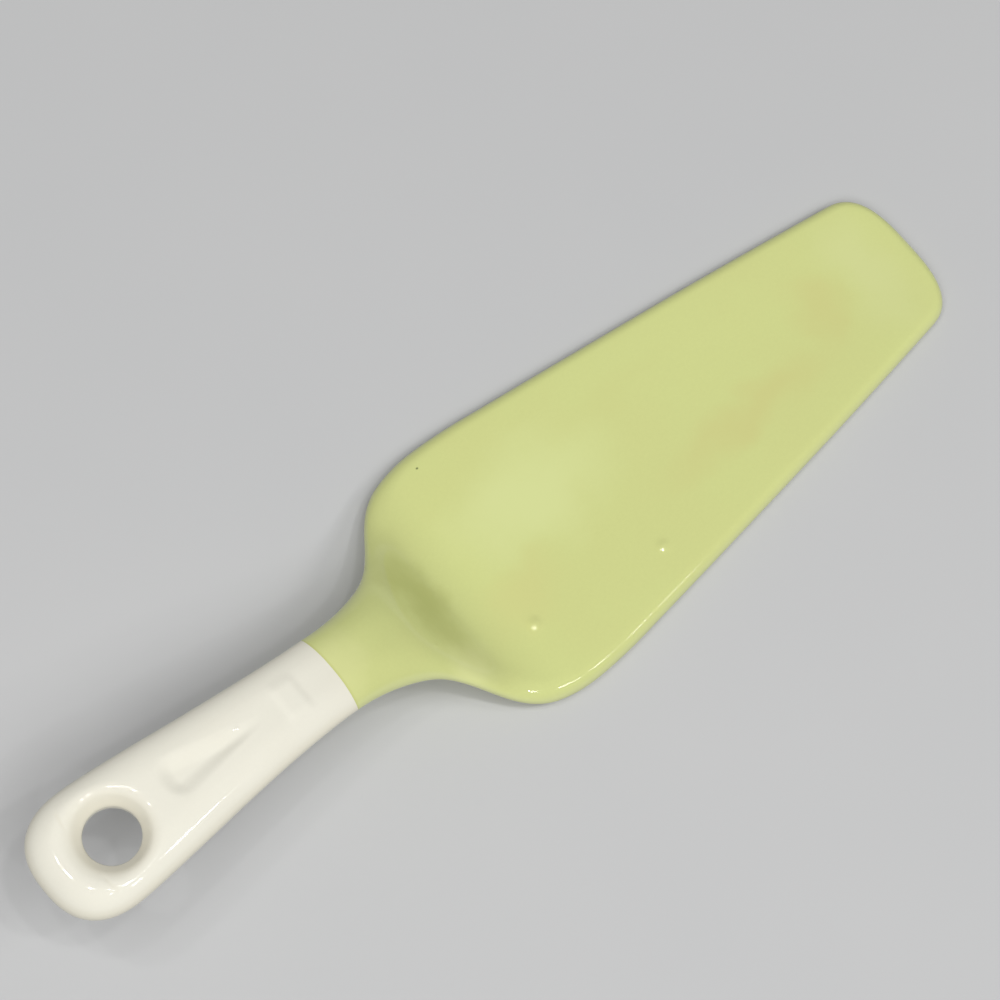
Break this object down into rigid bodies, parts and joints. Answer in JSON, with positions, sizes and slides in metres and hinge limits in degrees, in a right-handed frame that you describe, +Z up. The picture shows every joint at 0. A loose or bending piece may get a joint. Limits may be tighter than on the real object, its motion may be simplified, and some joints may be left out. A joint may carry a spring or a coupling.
{
  "type": "cake server",
  "caption": "Glazed ceramic cake server with a flat tapered blade, a curved neck and a handle with a thumb rest and a hanging hole.",
  "frame": {"origin": "middle of the object's footprint on the table, under the middle of its length", "axes": "+X from the handle's end to the blade's tip, +Z up, square to the blade's flat underside; +Y completes the frame"},
  "size_m": [0.235, 0.0622, 0.0426],
  "materials": {
    "clay": "matte",
    "green_glaze": "gloss",
    "ivory_glaze": "gloss"
  },
  "bodies": {
    "root": {"clay_body": "clay", "green_glaze": "green_glaze", "ivory_glaze": "ivory_glaze"}
  },
  "joints": []
}
